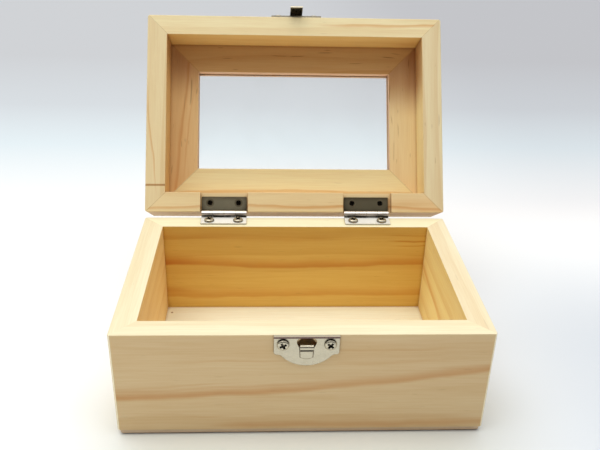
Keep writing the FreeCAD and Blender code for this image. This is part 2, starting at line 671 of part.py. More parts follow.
def make_lever(name):
    """The lever, drawn shut. Local frame: its pin lies along X through the origin, and -Y is
    away from the chest. A web with side flanges ends in a toe that hooks in under the tip; the
    flanges stop above the hook's crown."""
    body = new_body(name)
    half = "Size.lever_width / 2"
    face = "-Size.lug_radius"
    under = f"({face} + Size.lever_sheet)"
    end = f"({TOE_TOP} - Size.lever_sheet)"
    crown = "Size.lever_sheet"
    toe = f"{face} + Size.lever_toe"
    web = new_sketch(body, "YZ", f"{name}_profile", out=f"-{half}")
    draw_polygon(web, [(face, crown), (face, end), (toe, end), (toe, TOE_TOP), (under, TOE_TOP),
                       (under, crown)])
    add_pad(body, web, "Size.lever_width", f"{name}_web")
    doc.recompute()
    foot = body.Shape.BoundBox.ZMin
    front = body.Shape.BoundBox.YMin
    add_round(body, f"{name}_bend_outside", "Size.lever_bend",
              lambda middle, along: near(middle.z, foot) and near(middle.y, front))
    add_round(body, f"{name}_bend_inside", "Size.lever_bend - Size.lever_sheet",
              lambda middle, along: near(middle.z, foot + size("lever_sheet"))
              and near(middle.y, front + size("lever_sheet")) and near(abs(along.x), 1))
    for side, start in (("left", f"-{half}"), ("right", f"{half} - Size.lever_sheet")):
        flange = new_sketch(body, "YZ", f"{name}_{side}_flange", out=start)
        draw_rectangle(flange, under, f"{face} + Size.lever_side", FLANGE_FOOT, "0")
        add_pad(body, flange, "Size.lever_sheet", f"{name}_{side}_flange_pad")
        lug = new_sketch(body, "YZ", f"{name}_{side}_lug", out=start)
        draw_circle(lug, "0", "0", "Size.lug_radius")
        add_pad(body, lug, "Size.lever_sheet", f"{name}_{side}_lug_pad")
    bore = new_sketch(body, "YZ", f"{name}_bore", out=f"-{half}")
    draw_circle(bore, "0", "0", "Size.latch_pin_radius + Size.pin_play")
    add_pocket(body, bore, "Size.lever_width", f"{name}_bore_cut", reverse=True)
    return body


# ---------------------------------------------------------------- the chest, piece by piece

HINGES = (("left", "-Size.hinge_spread - Size.hinge_width / 2"),
          ("right", "Size.hinge_spread - Size.hinge_width / 2"))
LID_LEVEL = f"({LID_FOOT} + Size.lid_height - Size.frame_thickness)"

pan_screw = make_pan_screw()
pan_seat = make_turned("pan_seat", PAN_SEAT_PROFILE)
sunk_screw = make_sunk_screw()
sunk_seat = make_turned("sunk_seat", SUNK_PROFILE)
board_nail = make_nail()

# fasteners' places
WALL_MIDDLE_X = f"({HALF_LENGTH} - Size.wall_thickness / 2)"
WALL_MIDDLE_Y = f"({HALF_DEPTH} - Size.wall_thickness / 2)"
NAIL_X = f"({HALF_LENGTH} - Size.nail_end)"
nail_steps = [[moved(x, f"{side}{WALL_MIDDLE_Y}")]
              for side in ("-", "") for x in (f"-{NAIL_X}", "0", NAIL_X)]
nail_steps += [[moved(f"{side}{WALL_MIDDLE_X}")] for side in ("-", "")]


def leaf_screw_steps(start, level, about_x, lid):
    """Places of the two screws of one hinge leaf."""
    steps = []
    for number, x in enumerate(LEAF_SCREW_XS, start=1):
        spot = moved(f"{start} + {x}", f"{HALF_DEPTH} + {LEAF_SCREW_Y}",
                     f"Size.body_height + {level}", about_x, "1; 0; 0")
        spin = moved(turn=f"{number} * Size.screw_turn")
        steps.append([LID_OPEN, spot, spin] if lid else [spot, spin])
    return steps


def plate_screw_steps(middle, level, lid):
    """Places of the two screws of a catch plate or latch plate."""
    steps = []
    for number, side in enumerate("-+", start=1):
        spot = moved(f"{middle} {side} Size.plate_screw_pitch / 2",
                     f"-{HALF_DEPTH} - Size.plate_thickness", level, "90", "1; 0; 0")
        spin = moved(turn=f"{number} * Size.screw_turn")
        steps.append([LID_OPEN, spot, spin] if lid else [spot, spin])
    return steps


CATCH_SCREW_LEVEL = "Size.body_height - Size.plate_screw_drop"
LATCH_SCREW_LEVEL = f"{LATCH_FOOT} + Size.plate_screw_drop"

nails = keep("bottom_nails", add_copies("bottom_nails", board_nail, nail_steps))
body_seats = [nails]
lid_seats = []
leaf_seats = {}
for side, start in HINGES:
    low = leaf_screw_steps(start, "Size.leaf_thickness", "0", lid=False)
    high = leaf_screw_steps(start, LID_LEAF_LOW, "180", lid=True)
    shut = leaf_screw_steps(start, LID_LEAF_LOW, "180", lid=False)
    keep(f"{side}_hinge_body_screws", add_copies(f"{side}_hinge_body_screws", pan_screw, low))
    keep(f"{side}_hinge_lid_screws", add_copies(f"{side}_hinge_lid_screws", sunk_screw, high))
    body_seats.append(add_copies(f"{side}_hinge_body_seats", pan_seat, low))
    leaf_seats[side] = add_copies(f"{side}_hinge_lid_seats", sunk_seat, shut)
    lid_seats.append(leaf_seats[side])

catch_steps = plate_screw_steps("Size.catch_offset", CATCH_SCREW_LEVEL, lid=False)
latch_steps = plate_screw_steps("Size.latch_offset", LATCH_SCREW_LEVEL, lid=True)
keep("catch_plate_screws", add_copies("catch_plate_screws", pan_screw, catch_steps))
keep("latch_plate_screws", add_copies("latch_plate_screws", pan_screw, latch_steps))
body_seats.append(add_copies("catch_plate_seats", pan_seat, catch_steps))
latch_shut = plate_screw_steps("Size.latch_offset", LATCH_SCREW_LEVEL, lid=False)
lid_seats.append(add_copies("latch_plate_seats", pan_seat, latch_shut))

# hollow behind the hook, drilled into the front wall as wide as the hook's opening
hook_pocket = doc.addObject("Part::Cylinder", "hook_pocket")
hook_pocket.setExpression("Radius", "Size.slot_width / 2")
hook_pocket.setExpression("Height", "Size.pocket_depth")
place(hook_pocket, moved("Size.catch_offset", f"-{HALF_DEPTH}",
                         "Size.body_height - Size.slot_top - Size.slot_width / 2",
                         "-90", "1; 0; 0"))
body_seats.append(hook_pocket)

# body: walls split at the mitres, then drilled
WALL_HEIGHT = "(Size.body_height - Size.board_thickness)"
wall_ring = make_ring("wall_ring", "Size.board_thickness", WALL_HEIGHT, "Size.wall_thickness",
                      ("Size.rim_round", "Size.rim_round"))
round_mouth(wall_ring, "wall_ring_mouth_round", size("body_height"), "Size.mouth_round",
            size("wall_thickness"))
wall_names = {side: f"{side}_wall_blank" for side in ("front", "back", "left", "right")}
walls = split_ring(wall_ring, wall_names, "Size.board_thickness", WALL_HEIGHT,
                   "Size.wall_thickness")
body_drills = add_group("body_drills", body_seats)
for side, blank in walls.items():
    keep(f"{side}_wall", add_boolean("Cut", f"{side}_wall", blank, body_drills))

# bottom board
board = new_body("board_blank")
board_outline = new_sketch(board, "XY", "board_outline")
draw_rectangle(board_outline, f"-{HALF_LENGTH} + Size.board_inset",
               f"{HALF_LENGTH} - Size.board_inset", f"-{HALF_DEPTH} + Size.board_inset",
               f"{HALF_DEPTH} - Size.board_inset")
add_pad(board, board_outline, "Size.board_thickness", "board_sheet")
add_round(board, "board_corners", "Size.corner_round", lambda middle, along: upright(along))
add_round(board, "board_edge", "Size.board_round", lambda middle, along: near(middle.z, 0))
keep("bottom_board", add_boolean("Cut", "bottom_board", board, nails))

# lid: rails, then the frame on top of them
RAIL_HEIGHT = "(Size.lid_height - Size.frame_thickness)"
rail_ring = make_ring("rail_ring", LID_FOOT, RAIL_HEIGHT, "Size.wall_thickness",
                      ("Size.rim_round", None))
round_mouth(rail_ring, "rail_ring_mouth_round", size("body_height") + size("rim_gap"),
            "Size.mouth_round", size("wall_thickness"))
rail_names = {side: f"{side}_rail_blank" for side in ("front", "back", "left", "right")}
rails = split_ring(rail_ring, rail_names, LID_FOOT, RAIL_HEIGHT, "Size.wall_thickness")

# the mortise cutters stand half a wall proud of the rail in front and behind
MORTISE_TOP = "(Size.axis_rise + Size.knuckle_radius)"
mortises = []
for side, start in HINGES:
    mortise = doc.addObject("Part::Box", f"{side}_mortise")
    slip = "Size.mortise_slip" if side == "right" else "0"
    mortise.setExpression("Length", f"Size.hinge_width + 2 * Size.mortise_play + {slip}")
    mortise.setExpression("Width", "Size.wall_thickness * 2")
    mortise.setExpression("Height", f"{MORTISE_TOP} * 2")
    place(mortise, moved(f"{start} - Size.mortise_play",
                         f"{HALF_DEPTH} - Size.wall_thickness * 3 / 2",
                         f"Size.body_height - {MORTISE_TOP}"))
    mortises.append(mortise)
lid_cuts = add_group("lid_cuts", mortises + lid_seats)
for side, blank in rails.items():
    rail = keep(f"lid_{side}_rail", add_boolean("Cut", f"lid_{side}_rail", blank, lid_cuts))
    place(rail, LID_OPEN)

frame_ring = make_ring("frame_ring", LID_LEVEL, "Size.frame_thickness", "Size.frame_width",
                       (None, "Size.rim_round"))
for name, level in (("inner", size("body_height") + size("rim_gap") + size("lid_height")
                     - size("frame_thickness")),
                    ("outer", size("body_height") + size("rim_gap") + size("lid_height"))):
    round_mouth(frame_ring, f"frame_ring_{name}_round", level, "Size.window_round",
                size("frame_width"))
GROOVE = "(Size.frame_width - Size.groove_depth)"
groove = new_sketch(frame_ring, "XY", "pane_groove",
                    out=f"{LID_LEVEL} + Size.glass_depth - Size.glass_play")
draw_rectangle(groove, f"-{HALF_LENGTH} + {GROOVE}", f"{HALF_LENGTH} - {GROOVE}",
               f"-{HALF_DEPTH} + {GROOVE}", f"{HALF_DEPTH} - {GROOVE}")
add_pocket(frame_ring, groove, "Size.glass_thickness + 2 * Size.glass_play", "pane_groove_cut",
           reverse=True)
strip_names = {side: f"lid_frame_{side}" for side in ("front", "back", "left", "right")}
strips = split_ring(frame_ring, strip_names, LID_LEVEL, "Size.frame_thickness",
                    "Size.frame_width")
for side, strip in strips.items():
    place(keep(strip_names[side], strip), LID_OPEN)

pane = doc.addObject("Part::Box", "window_glass")
PANE_EDGE = f"({GROOVE} + Size.glass_play)"
pane.setExpression("Length", f"Size.chest_length - 2 * {PANE_EDGE}")
pane.setExpression("Width", f"Size.chest_depth - 2 * {PANE_EDGE}")
pane.setExpression("Height", "Size.glass_thickness")
place(keep("window_glass", pane), LID_OPEN,
      moved(f"-{HALF_LENGTH} + {PANE_EDGE}", f"-{HALF_DEPTH} + {PANE_EDGE}",
            f"{LID_LEVEL} + Size.glass_depth"))

# hinges
for side, start in HINGES:
    seat = moved(start, HALF_DEPTH, "Size.body_height")
    place(keep(f"{side}_hinge_body_leaf", make_body_leaf(f"{side}_hinge_body_leaf")), seat)
    place(keep(f"{side}_hinge_pin", make_hinge_pin(f"{side}_hinge_pin")), seat)
    leaf = make_lid_leaf(f"{side}_hinge_lid_leaf_blank")
    place(leaf, seat)
    cut = add_boolean("Cut", f"{side}_hinge_lid_leaf", leaf, leaf_seats[side])
    place(keep(f"{side}_hinge_lid_leaf", cut), LID_OPEN)

# latch
place(keep("catch_plate", make_catch_plate("catch_plate")),
      moved("Size.catch_offset", f"-{HALF_DEPTH}", "Size.body_height"))
place(keep("latch_plate", make_latch_plate("latch_plate")), LID_OPEN,
      moved("Size.latch_offset", f"-{HALF_DEPTH}", LATCH_FOOT))
place(keep("latch_pin", make_latch_pin("latch_pin")), LID_OPEN,
      moved(f"Size.latch_offset - {EAR_SPAN} / 2", LATCH_Y, LATCH_Z, "90", "0; 1; 0"))
place(keep("latch_lever", make_lever("latch_lever")), LID_OPEN, LEVER_OUT,
      moved("Size.latch_offset", LATCH_Y, LATCH_Z))

# ---------------------------------------------------------------- check and write

doc.recompute()
for item in doc.Objects:
    if "Invalid" in item.State or "Error" in item.State:
        raise RuntimeError(f"{item.Name} did not recompute: {item.State}")
os.makedirs("parts", exist_ok=True)
for label, piece in nodes.items():
    shape = piece.Shape
    if shape.isNull() or not shape.isValid() or not shape.Solids:
        raise RuntimeError(f"{label} has no valid solid")
    shape.exportStep(os.path.join("parts", f"{label}.step"))
    print(f"{label}: {len(shape.Solids)} solid(s), {shape.Volume:.1f} mm3")
print(len(nodes), "nodes")
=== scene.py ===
import json
import math
import bpy
from mathutils import Matrix, Vector


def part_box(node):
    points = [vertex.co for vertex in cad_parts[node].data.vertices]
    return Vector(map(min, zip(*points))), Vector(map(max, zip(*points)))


# Pine chest with a glazed lid: finishes, floor, light and camera. The frame is in metres, +X to
# the right along the chest, +Y to the back, +Z up. Finishes are worked out in millimetres.

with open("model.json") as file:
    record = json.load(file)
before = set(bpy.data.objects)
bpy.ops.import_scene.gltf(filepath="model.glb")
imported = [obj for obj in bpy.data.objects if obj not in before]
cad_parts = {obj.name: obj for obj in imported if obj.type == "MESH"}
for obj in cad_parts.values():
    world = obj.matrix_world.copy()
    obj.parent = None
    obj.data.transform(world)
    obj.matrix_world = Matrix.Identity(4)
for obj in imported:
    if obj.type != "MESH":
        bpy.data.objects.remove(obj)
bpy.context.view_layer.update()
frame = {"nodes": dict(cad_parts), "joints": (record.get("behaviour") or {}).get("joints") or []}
nodes = frame["nodes"]
joints = {joint["name"]: joint for joint in frame["joints"]}

MM = 1000.0
SIDES = ("left", "right")
HINGE = Vector(joints["lid_hinge"]["pos_m"])
LID_SWING = math.radians(joints["lid_hinge"]["range_deg"][1])
front_low, front_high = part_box("front_wall")
HALF_LENGTH = front_high.x * MM
HALF_DEPTH = -front_low.y * MM
RIM_TOP = front_high.z * MM


def tone(red, green, blue):
    """A linear colour from the usual 0 to 255 display values."""
    def linear(value):
        value /= 255
        return value / 12.92 if value <= 0.04045 else ((value + 0.055) / 1.055) ** 2.4
    return (linear(red), linear(green), linear(blue), 1.0)


# ---------------------------------------------------------------- shader nodes

def feed(tree, socket, value):
    """Give a socket a plain value, or link it to the socket that feeds it."""
    if isinstance(value, bpy.types.NodeSocket):
        tree.links.new(value, socket)
    else:
        socket.default_value = value


def add(tree, kind, inputs=None, **settings):
    """A shader node with its settings and inputs."""
    made = tree.nodes.new(kind)
    for name, value in settings.items():
        setattr(made, name, value)
    for name, value in (inputs or {}).items():
        feed(tree, made.inputs[name], value)
    return made


def calc(tree, operation, *values):
    """One step of arithmetic on plain values or sockets."""
    return add(tree, "ShaderNodeMath", dict(enumerate(values)), operation=operation).outputs[0]


def product(tree, first, *others):
    """All the values, multiplied."""
    for other in others:
        first = calc(tree, "MULTIPLY", first, other)
    return first


def distance(tree, value, place):
    """How far a value is from a place, to either side."""
    return calc(tree, "ABSOLUTE", calc(tree, "SUBTRACT", value, place))


def length(tree, first, second):
    """The length of a step, from its two parts at right angles."""
    return calc(tree, "SQRT", calc(tree, "ADD", product(tree, first, first),
                                   product(tree, second, second)))


def fade(tree, value, start, end, low=0.0, high=1.0):
    """A smooth change from low to high while the value goes from start to end."""
    return add(tree, "ShaderNodeMapRange", {
        "Value": value, "From Min": start, "From Max": end, "To Min": low, "To Max": high},
        interpolation_type="SMOOTHSTEP").outputs[0]


def blend(tree, amount, first, second, mode="MIX"):
    """A colour between two others."""
    made = add(tree, "ShaderNodeMix", data_type="RGBA", blend_type=mode)
    for socket, value in ((0, amount), (6, first), (7, second)):
        feed(tree, made.inputs[socket], value)
    return made.outputs[2]


def shade(tree, colour, amount, by):
    """The colour, multiplied towards another by the given amount."""
    return blend(tree, amount, colour, by, mode="MULTIPLY")


def noise(tree, at, scale, detail, along=1.0, shift=(0, 0, 0), roughness=0.5):
    """Noise of 0 to 1, with features about 1 / scale millimetres across. An along of less than 1
    draws them out in X."""
    spread = add(tree, "ShaderNodeMapping", {"Vector": at, "Scale": (along, 1, 1),
                                             "Location": shift})
    return add(tree, "ShaderNodeTexNoise", {
        "Vector": spread.outputs[0], "Scale": scale, "Detail": detail,
        "Roughness": roughness}).outputs["Fac"]


def openness(tree, reach, samples):
    """1 in the open, and less where surfaces within reach, in millimetres, shut a point in."""
    return add(tree, "ShaderNodeAmbientOcclusion", {"Distance": reach / MM},
               samples=samples).outputs["AO"]


def split(tree, vector):
    """A vector's X, Y and Z."""
    return add(tree, "ShaderNodeSeparateXYZ", {"Vector": vector}).outputs


def chest_space(tree, in_lid=False):
    """Millimetres in the chest's own frame; a wooden piece of the lid is turned shut first."""
    here = add(tree, "ShaderNodeTexCoord").outputs["Object"]
    scaled = {"Vector": here, "Scale": (MM, MM, MM)}
    if in_lid:
        turn = Matrix.Rotation(LID_SWING, 3, "X")
        scaled["Rotation"] = (LID_SWING, 0, 0)
        scaled["Location"] = (HINGE - turn @ HINGE) * MM
    return add(tree, "ShaderNodeMapping", scaled).outputs[0]


def chest_normal(tree, in_lid):
    """The surface's direction in the same frame."""
    here = add(tree, "ShaderNodeTexCoord").outputs["Normal"]
    turned = {"Vector": here, "Rotation": (LID_SWING if in_lid else 0, 0, 0)}
    return add(tree, "ShaderNodeMapping", turned, vector_type="NORMAL").outputs[0]


# ---------------------------------------------------------------- materials

def new_material(name, **constants):
    """An empty material with its shader, whose constant values are set on its own sockets."""
    material = bpy.data.materials.new(name)
    material.use_nodes = True
    tree = material.node_tree
    shader = tree.nodes["Principled BSDF"]
    for key, value in constants.items():
        shader.inputs[key.replace("_", " ")].default_value = value
    return material, tree, shader


def set_bump(tree, shader, height, depth):
    """Relief of the given depth in millimetres."""
    bump = add(tree, "ShaderNodeBump", {"Height": height, "Strength": 1.0, "Distance": depth / MM})
    tree.links.new(bump.outputs[0], shader.inputs["Normal"])


def finish_with(material, *names):
    """Give the named nodes this material and no other."""
    for name in names:
        nodes[name].data.materials.clear()
        nodes[name].data.materials.append(material)


# ---------------------------------------------------------------- pine

# what late wood, resin, flecks, glue lines and dots, saw cuts, and painted shade multiply the
# wood's colour by; the glue line colour also paints shade at the foot, the saw cut colour in inside
# corners
LATE = (0.80, 0.62, 0.42, 1)
RESIN = (0.80, 0.50, 0.26, 1)
FLECK = (0.38, 0.26, 0.18, 1)
SEAM_AND_SHADE = (0.36, 0.24, 0.15, 1)
NOOK = (0.50, 0.30, 0.14, 1)
SHADED = (0.42, 0.19, 0.08, 1)
CORNER_HIGHLIGHT = tone(255, 246, 214)              # painted highlight on the vertical corners

# the noises in the wood, most of them drawn out along the grain
BEND = dict(scale=0.045, detail=2.0, along=0.16)
PATCH = dict(scale=0.035, detail=3.0, along=0.12)
WARMTH = dict(scale=0.06, detail=3.0, along=0.1)
FIBRE = dict(scale=1.3, detail=3.0, along=0.035, roughness=0.65)
WAVES = dict(scale=0.05, detail=3.0, along=0.5)
SPECKS = dict(scale=0.8, detail=1.0, along=0.12)

# strengths, and shares of a whole
LATE_START, LATE_FULL, LATE_STOP = 0.3, 0.9, 0.93   # late wood in each ring
FAINT_RINGS = 0.2                       # the rings where they are weakest
WARM_DEPTH, FIBRE_DEPTH = 0.22, 0.22
CREASE_DEPTH, CUT_DEPTH, DOT_DEPTH = 0.45, 0.85, 0.9
CUT_CORE, DOT_CORE = 0.4, 0.6           # the fully dark part of a saw mark, and of dots and painted shade

# millimetres
RING_BEND = 14.0                        # how far the growth rings wander
STREAK_BEND = 5.0                       # how far the streaks wander
CREASE = 2.5                            # how far painted shade reaches out of an inside corner
CORNER_FROM, CORNER_TO = 0.7, 0.3       # a corner's painted highlight starts and is full this far in
GLUE_CORE, GLUE_EDGE = 0.06, 0.32       # half widths of a glue line
WOOD_RELIEF = 0.05

# the way each board's inner face looks
INWARD = {"front": ("Y", 1), "back": ("Y", -1), "left": ("X", 1), "right": ("X", -1),
          "board": ("Y", 1)}


def grain_space(tree, at, run):
    """The same point with X along the board's grain."""
    turn = (0, 0, -math.pi / 2) if run == "Y" else (0, 0, 0)
    return add(tree, "ShaderNodeMapping", {"Vector": at, "Rotation": turn}).outputs[0]


def streak(level, slope=0.0, curve=0.0, below=1.0, above=3.0, depth=0.5, across="Z",
           start=-100, end=100, soft=12, tint=RESIN, face=None):
    """A line along the grain, in millimetres: its height at the middle, its slope and bend, how far
    it fades to either side and at its ends, its tint, and the one kind of face it's on, if any."""
    return dict(level=level, slope=slope, curve=curve, below=below, above=above, depth=depth,
                across=across, start=start, end=end, soft=soft, tint=tint, face=face)


def dash(level, start, end, thick=0.45, depth=0.8):
    """A short dark dash on a face that looks to the rim."""
    return streak(level, below=thick, above=thick, depth=depth, across="Y", start=start, end=end,
                  soft=2, tint=FLECK, face="rim")


def shaded_end(level, reach, end, depth, across, face):
    """Shade over a board's whole width, up to a place along it."""
    return streak(level, below=reach, above=reach, depth=depth, across=across, end=end,
                  tint=SHADED, face=face)


def streak_mask(tree, parts, wobble, line):
    """1 on a streak's middle line, fading to 0 at its sides and ends."""
    along, soft = parts["X"], line["soft"]
    sloped = calc(tree, "MULTIPLY_ADD", along, line["slope"], line["level"])
    middle = calc(tree, "ADD", sloped, product(tree, along, along, line["curve"]))
    off = calc(tree, "SUBTRACT", calc(tree, "ADD", parts[line["across"]], wobble), middle)
    sides = product(tree, fade(tree, off, -line["below"], 0),
                    fade(tree, off, 0, line["above"], 1.0, 0.0))
    ends = product(tree, fade(tree, along, line["start"] - soft, line["start"] + soft),
                   fade(tree, along, line["end"] - soft, line["end"] + soft, 1.0, 0.0))
    return product(tree, sides, ends)


def late_wood(tree, at, parts, pith, spacing, shift):
    """Growth rings round a pith line, from 0 to 1: each builds up slowly and stops short."""
    reach = length(tree, calc(tree, "SUBTRACT", parts["Y"], pith[0]),
                   calc(tree, "SUBTRACT", parts["Z"], pith[1]))
    bend = noise(tree, at, shift=shift, **BEND)
    warped = calc(tree, "MULTIPLY_ADD", bend, RING_BEND, reach)
    phase = calc(tree, "FRACT", calc(tree, "DIVIDE", warped, spacing))
    return product(tree, fade(tree, phase, LATE_START, LATE_FULL),
                   fade(tree, phase, LATE_STOP, 1.0, 1.0, 0.0))


def make_pine(name, side, outer, rim, inner, pith, spacing, seed, rings, in_lid=False, streaks=(),
              flecks=0.12, mitre=0.0, cuts=(), dots=(), corner=0.0, foot=0.0):
    """Planed pine in three tones: the outer faces, the rim where body and lid meet, and the faces
    that look to the middle; the rim and inner tones, set per board, paint the light or shade on
    faces that look that way. Rings run round a pith line beside the board. Over them lie fibres,
    streaks, flecks, saw cuts (place, width), dots (along, aside, radius), painted highlights on the
    vertical corners, painted shade at the foot and in inside corners, and glue lines."""
    material, tree, shader = new_material(name, Specular_IOR_Level=0.3)
    chest = chest_space(tree, in_lid)
    at = grain_space(tree, chest, "Y" if side in SIDES else "X")
    spot, parts = split(tree, chest), split(tree, at)
    shift = (seed * 37.0, seed * 11.0, seed * 5.0)
    shift_two = (shift[1], shift[2], shift[0])
    shift_three = (shift[2], shift[0], shift[1])

    # three tones, which paint light and shade by the way a face looks
    facing = split(tree, chest_normal(tree, in_lid))
    to_rim = -1 if in_lid else 1
    up = fade(tree, facing["Z"], 0.4 * to_rim, 0.9 * to_rim)
    axis, sign = INWARD[side]
    inward = fade(tree, facing[axis], 0.5 * sign, 0.9 * sign)
    colour = blend(tree, inward, outer, inner)
    colour = blend(tree, up, colour, rim)

    # growth rings, stronger in some places than in others
    late = late_wood(tree, at, parts, pith, spacing, shift)
    patch = noise(tree, at, shift=shift_two, **PATCH)
    strength = fade(tree, patch, 0.35, 0.65, rings * FAINT_RINGS, rings)
    colour = shade(tree, colour, product(tree, late, strength), LATE)

    # broad warm patches, then fine fibres
    warmth = noise(tree, at, shift=shift_three, **WARMTH)
    colour = shade(tree, colour, fade(tree, warmth, 0.42, 0.68, 0.0, WARM_DEPTH), LATE)
    fibre = noise(tree, at, shift=shift, **FIBRE)
    colour = shade(tree, colour, fade(tree, fibre, 0.3, 0.75, 0.0, FIBRE_DEPTH), LATE)

    # streaks, then flecks of resin, saw cuts and dots
    waves = noise(tree, at, shift=shift, **WAVES)
    wobble = calc(tree, "MULTIPLY_ADD", waves, STREAK_BEND, -STREAK_BEND / 2)
    uneven = fade(tree, patch, 0.3, 0.6, 0.6, 1.0)
    faces = {"rim": up, "inside": inward, None: 1.0}
    for line in streaks:
        mask = product(tree, streak_mask(tree, parts, wobble, line), line["depth"],
                       faces[line["face"]], uneven)
        colour = shade(tree, colour, mask, line["tint"])
    speck = noise(tree, at, shift=shift_two, **SPECKS)
    colour = shade(tree, colour, fade(tree, speck, 0.72, 0.78, 0.0, flecks), FLECK)
    for place, width in cuts:
        off = distance(tree, parts["X"], place)
        cut = product(tree, fade(tree, off, width * CUT_CORE, width, CUT_DEPTH, 0.0), up)
        colour = shade(tree, colour, cut, NOOK)
    for along, aside, radius in dots:
        off = length(tree, calc(tree, "SUBTRACT", parts["X"], along),
                     calc(tree, "SUBTRACT", parts["Y"], aside))
        dot = fade(tree, off, radius * DOT_CORE, radius, DOT_DEPTH, 0.0)
        colour = shade(tree, colour, dot, SEAM_AND_SHADE)

    # painted highlights on the vertical corners, painted shade at the foot and in inside corners,
    # glue lines at the mitres
    if corner:
        out = calc(tree, "ABSOLUTE", spot["X"])
        pale = fade(tree, out, HALF_LENGTH - CORNER_FROM, HALF_LENGTH - CORNER_TO, 0.0, corner)
        colour = blend(tree, pale, colour, CORNER_HIGHLIGHT)
    if foot:
        colour = shade(tree, colour, fade(tree, spot["Z"], foot * DOT_CORE, foot, 1.0, 0.0), SEAM_AND_SHADE)
    crease = fade(tree, openness(tree, CREASE, samples=8), 0.45, 0.85, CREASE_DEPTH, 0.0)
    colour = shade(tree, colour, crease, NOOK)
    if mitre:
        from_end = calc(tree, "SUBTRACT", HALF_LENGTH, calc(tree, "ABSOLUTE", spot["X"]))
        from_side = calc(tree, "SUBTRACT", HALF_DEPTH, calc(tree, "ABSOLUTE", spot["Y"]))
        gap = distance(tree, from_end, from_side)
        colour = shade(tree, colour, fade(tree, gap, GLUE_CORE, GLUE_EDGE, mitre, 0.0), SEAM_AND_SHADE)

    tree.links.new(colour, shader.inputs["Base Color"])
    tree.links.new(fade(tree, fibre, 0.3, 0.8, 0.5, 0.68), shader.inputs["Roughness"])
    set_bump(tree, shader, calc(tree, "MULTIPLY_ADD", late, 0.4, fibre), WOOD_RELIEF)
    return material


# each board's rim and inner tones are painted light and shade: lighter or darker by how light falls
# on faces that look that way
FACE = tone(222, 195, 149)
RIM = tone(243, 234, 198)
WALLS = {
    "front": dict(inner=tone(232, 196, 134), rim=RIM, pith=(30, -60), spacing=9.0, rings=0.25,
                  corner=0.9, streaks=[
        streak(24.8, 0.088, 0.0005, below=2.2, above=4.6, depth=0.75),
        streak(28.0, 0.07, 0.0003, below=0.8, above=1.6, depth=0.3, end=5),
        streak(31.0, 0.09, 0.0003, below=0.6, above=1.2, depth=0.25, end=-30),
        streak(5.6, below=2.4, start=-34, end=90),
        streak(10.6, below=0.6, above=1.0, start=-44, end=-38),
        streak(40.5, 0.02, below=0.6, above=1.4, depth=0.35, start=-50, end=-12),
        streak(44.5, 0.01, 0.0002, below=0.8, above=1.6, depth=0.3, start=10, end=60),
        streak(37.5, 0.02, 0.0003, above=2.0, depth=0.3, start=15, end=60)]),
    "back": dict(inner=tone(233, 194, 102), rim=tone(253, 250, 214), pith=(40, 78), spacing=10.0,
                 rings=0.35, streaks=[
        streak(29.0, 0.0, 0.0004, below=1.4, above=6.5, depth=0.75),
        streak(11.0, 0.01, below=1.4, above=6.5, depth=0.75),
        streak(50.0, below=14.0, above=20.0, depth=0.2, tint=LATE),
        streak(31.0, below=2.0, above=4.0, depth=0.6, end=-56),
        streak(13.5, below=2.0, above=4.0, end=-58),
        streak(47.3, below=0.5, above=0.8, start=50, soft=6),
        streak(43.9, below=0.6, above=1.0, depth=0.9, start=52, soft=6),
        streak(41.4, below=0.4, above=0.8, depth=0.6, start=54, soft=6),
        streak(46.0, below=2.0, depth=0.3, start=-75, end=20)]),
    "left": dict(inner=tone(246, 211, 143), rim=RIM, pith=(20, -50), spacing=8.5, rings=0.35),
    "right": dict(inner=tone(252, 232, 162), rim=tone(241, 229, 194), pith=(-40, 60), spacing=9.0,
                  rings=0.4, streaks=[
        streak(24.0, 0.12, above=5.0)]),
}
BOARD = dict(outer=tone(216, 192, 164), rim=tone(254, 253, 226), inner=tone(216, 192, 164),
             pith=(10, 60), spacing=11.0, rings=0.2, dots=[(-66.8, 37.6, 0.8)], foot=0.9)
LID_OUTER = tone(222, 196, 152)
RAILS = {
    "front": dict(rim=tone(254, 238, 190), inner=tone(237, 200, 126), pith=(12, 40), spacing=7.5,
                  streaks=[
        streak(-49.5, 0.01, -0.0002, above=2.0, depth=0.7, across="Y", start=20, end=90)]),
    "back": dict(rim=tone(246, 222, 170), inner=tone(230, 190, 128), pith=(12, 54), spacing=7.5,
                 streaks=[
        streak(50.0, 0.0, 0.0003, below=0.8, above=1.8, depth=0.7, across="Y"),
        streak(48.5, below=8, above=8, depth=0.4, across="Y", start=50)]),
    "left": dict(rim=tone(242, 221, 173), inner=tone(230, 193, 128), pith=(12, 68), spacing=8.5,
                 cuts=[(39.3, 0.75)], streaks=[
        streak(78.2, -0.095, below=0.4, above=1.2, depth=0.6, across="Y", start=-10, end=38,
               face="rim"),
        shaded_end(70, reach=40, end=-24, depth=0.5, across="Z", face="inside")]),
    "right": dict(rim=tone(240, 222, 178), inner=tone(255, 240, 182), pith=(12, 82), spacing=9.5,
                  flecks=0.3, streaks=[
        shaded_end(70, reach=40, end=-14, depth=0.8, across="Z", face="inside")]),
}
STRIP_INNER = tone(236, 200, 160)
